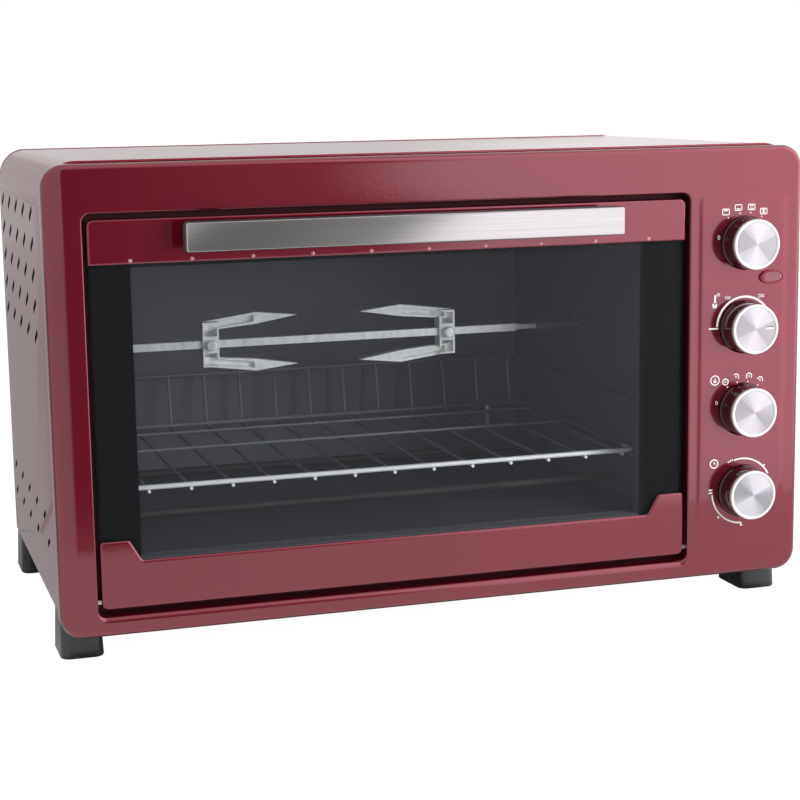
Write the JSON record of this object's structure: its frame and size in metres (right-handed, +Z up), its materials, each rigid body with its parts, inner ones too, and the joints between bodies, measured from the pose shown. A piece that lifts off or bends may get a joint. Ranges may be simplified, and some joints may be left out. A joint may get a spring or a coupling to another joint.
{
  "type": "electric table-top oven",
  "caption": "Red table-top electric oven with a drop-down glass door, bar handle, wire rack, rotisserie spit with forks, control knobs and an indicator lamp.",
  "frame": {"origin": "on the table under the middle of the oven's overall box", "axes": "+X to the right seen from the front, along the width; +Y from the door towards the back; +Z up from the table"},
  "size_m": [0.6, 0.382, 0.37],
  "materials": {
    "red_enamel": "high-gloss burgundy enamel on pressed steel",
    "red_plastic": "glossy burgundy moulding",
    "black_plastic": "fine-grained black moulding",
    "door_glass": "toughened glass with a black printed border at each side",
    "brushed_steel": "brushed along the bar",
    "spun_aluminium": "spun, with a bright turned rim",
    "chrome_wire": "bright chrome plate",
    "cavity_coat": "dark grey heat-resistant coating",
    "galvanised": "zinc-plated sheet steel",
    "heater_sheath": "oxidised steel sheath",
    "red_lens": "clear red lens"
  },
  "bodies": {
    "cabinet": {"front_panel": "red_enamel", "outer_casing": "red_enamel", "rear_panel": "galvanised", "base_plate": "galvanised", "cord_gland": "black_plastic", "foot_front_left": "black_plastic", "foot_front_right": "black_plastic", "foot_rear_left": "black_plastic", "foot_rear_right": "black_plastic", "hinge_bracket_left": "galvanised", "hinge_bracket_right": "galvanised", "mouth_frame": "cavity_coat", "cavity_shell": "cavity_coat", "cavity_rear_wall": "cavity_coat", "cavity_floor": "cavity_coat", "heat_shield": "galvanised", "rack_guide_left": "cavity_coat", "rack_guide_right": "cavity_coat", "thermostat_bulb": "chrome_wire", "upper_element_front": "heater_sheath", "upper_element_rear": "heater_sheath", "lower_element_front": "heater_sheath", "lower_element_rear": "heater_sheath", "heat_switch": "black_plastic", "thermostat_body": "galvanised", "function_switch": "black_plastic", "timer_body": "galvanised", "indicator_lens": "red_lens", "rotisserie_motor": "galvanised", "spit_rest": "galvanised"},
    "door": {"door_top_band": "red_enamel", "door_low_band": "red_enamel", "door_glass": "door_glass", "door_inner_frame": "cavity_coat", "hinge_pin_left": "chrome_wire", "hinge_pin_right": "chrome_wire", "handle_bar": "brushed_steel", "handle_post_left": "black_plastic", "handle_post_right": "black_plastic"},
    "rack": {"wire_rack": "chrome_wire"},
    "tray": {"crumb_tray": "galvanised"},
    "spit": {"spit_rod": "chrome_wire", "spit_drive": "galvanised"},
    "left_fork": {"fork_left": "chrome_wire"},
    "right_fork": {"fork_right": "chrome_wire"},
    "left_fork_screw": {"fork_screw_left": "chrome_wire"},
    "right_fork_screw": {"fork_screw_right": "chrome_wire"},
    "heat_control": {"heat_knob": "red_plastic", "heat_knob_cap": "spun_aluminium", "heat_shaft": "galvanised"},
    "thermostat_control": {"thermostat_knob": "red_plastic", "thermostat_knob_cap": "spun_aluminium", "thermostat_shaft": "galvanised"},
    "function_control": {"function_knob": "red_plastic", "function_knob_cap": "spun_aluminium", "function_shaft": "galvanised"},
    "timer_control": {"timer_knob": "red_plastic", "timer_knob_cap": "spun_aluminium", "timer_shaft": "galvanised"}
  },
  "joints": [
    {"name": "door_hinge", "type": "hinge", "parent": "cabinet", "child": "door", "pos_m": [-0.0355, -0.153, 0.049], "axis": [1, 0, 0], "range_deg": [0, 90]},
    {"name": "rack_slide", "type": "slide", "parent": "cabinet", "child": "rack", "axis": [0, -1, 0], "range_m": [0, 0.165]},
    {"name": "tray_slide", "type": "slide", "parent": "cabinet", "child": "tray", "axis": [0, -1, 0], "range_m": [0, 0.051]},
    {"name": "spit_turn", "type": "hinge", "parent": "cabinet", "child": "spit", "pos_m": [0, 0.005, 0.2145], "axis": [1, 0, 0], "continuous": true},
    {"name": "left_fork_slide", "type": "slide", "parent": "spit", "child": "left_fork", "axis": [1, 0, 0], "range_m": [-0.06, 0.02]},
    {"name": "right_fork_slide", "type": "slide", "parent": "spit", "child": "right_fork", "axis": [1, 0, 0], "range_m": [-0.02, 0.05]},
    {"name": "left_fork_screw_turn", "type": "hinge", "parent": "left_fork", "child": "left_fork_screw", "pos_m": [-0.15025, 0.005, 0.2145], "axis": [0, 1, 0], "range_deg": [-360, 360]},
    {"name": "right_fork_screw_turn", "type": "hinge", "parent": "right_fork", "child": "right_fork_screw", "pos_m": [0.05375, 0.005, 0.2145], "axis": [0, 1, 0], "range_deg": [-360, 360]},
    {"name": "heat_knob_turn", "type": "hinge", "parent": "cabinet", "child": "heat_control", "pos_m": [0.25, -0.16, 0.294], "axis": [0, 1, 0], "range_deg": [0, 150]},
    {"name": "thermostat_knob_turn", "type": "hinge", "parent": "cabinet", "child": "thermostat_control", "pos_m": [0.25, -0.16, 0.2271], "axis": [0, 1, 0], "range_deg": [0, 270]},
    {"name": "function_knob_turn", "type": "hinge", "parent": "cabinet", "child": "function_control", "pos_m": [0.25, -0.16, 0.1602], "axis": [0, 1, 0], "range_deg": [0, 150]},
    {"name": "timer_knob_turn", "type": "hinge", "parent": "cabinet", "child": "timer_control", "pos_m": [0.25, -0.16, 0.0933], "axis": [0, 1, 0], "range_deg": [-50, 290]}
  ],
  "couplings": [
    {"joint": "rack_slide", "follows": "door_hinge", "m_per_rad": 0.105},
    {"joint": "tray_slide", "follows": "door_hinge", "m_per_rad": 0.032}
  ]
}
